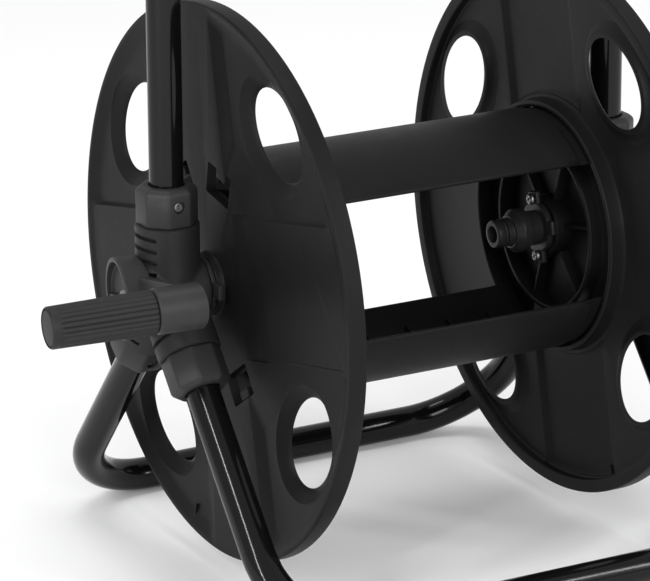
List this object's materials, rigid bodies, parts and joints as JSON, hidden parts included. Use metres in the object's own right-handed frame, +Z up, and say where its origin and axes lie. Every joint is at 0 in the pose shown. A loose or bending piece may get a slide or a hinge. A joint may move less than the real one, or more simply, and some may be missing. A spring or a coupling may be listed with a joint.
{
  "type": "garden hose reel",
  "caption": "Free-standing garden hose reel: a two-flange drum with a crank, in a stand of bent steel tubes joined by moulded joints, with a swivelling water inlet.",
  "frame": {"origin": "on the floor, under the middle of the reel's box", "axes": "+X along the drum's axis from the crank to the water inlet, +Y away from the user, +Z up"},
  "size_m": [0.4147, 0.2996, 0.461],
  "materials": {
    "painted_tube": "gloss black paint",
    "drum_plastic": "satin moulded polypropylene with a fine grain",
    "collar_plastic": "satin moulded polypropylene",
    "grip_plastic": "satin, fluted",
    "fitting_plastic": "smooth moulded acetal",
    "rubber": "matt",
    "zinc_steel": "zinc plated"
  },
  "bodies": {
    "stand": {"handle_tube": "painted_tube", "front_foot_tube": "painted_tube", "rear_foot_tube": "painted_tube", "near_joint": "drum_plastic", "far_joint": "drum_plastic", "near_handle_collar": "collar_plastic", "near_front_collar": "collar_plastic", "near_rear_collar": "collar_plastic", "far_handle_collar": "collar_plastic", "far_front_collar": "collar_plastic", "far_rear_collar": "collar_plastic", "near_handle_screw": "zinc_steel", "near_front_screw": "zinc_steel", "near_rear_screw": "zinc_steel", "far_handle_screw": "zinc_steel", "far_front_screw": "zinc_steel", "far_rear_screw": "zinc_steel", "near_bush": "fitting_plastic", "far_bush": "fitting_plastic"},
    "drum": {"near_flange": "drum_plastic", "far_flange": "drum_plastic", "top_slat": "drum_plastic", "bottom_slat": "drum_plastic", "crank": "collar_plastic", "axle_screw": "zinc_steel", "grip_spindle": "zinc_steel", "water_spindle": "fitting_plastic", "hose_nipple": "fitting_plastic", "nipple_seal": "rubber", "plate_screw_top": "zinc_steel", "plate_screw_bottom": "zinc_steel", "stem_seal": "rubber", "snap_ring": "zinc_steel"},
    "grip": {"grip": "grip_plastic", "grip_cap": "grip_plastic"},
    "inlet": {"inlet_elbow": "fitting_plastic", "elbow_seal": "rubber"}
  },
  "joints": [
    {"name": "drum_spin", "type": "hinge", "parent": "stand", "child": "drum", "pos_m": [0, 0, 0.162], "axis": [1, 0, 0], "continuous": true},
    {"name": "grip_spin", "type": "hinge", "parent": "drum", "child": "grip", "pos_m": [-0.15012, -0.06734, 0.17631], "axis": [-0.9914, 0.1277, -0.0271], "continuous": true},
    {"name": "inlet_swivel", "type": "hinge", "parent": "stand", "child": "inlet", "pos_m": [0.19522, 0, 0.162], "axis": [1, 0, 0], "continuous": true}
  ]
}
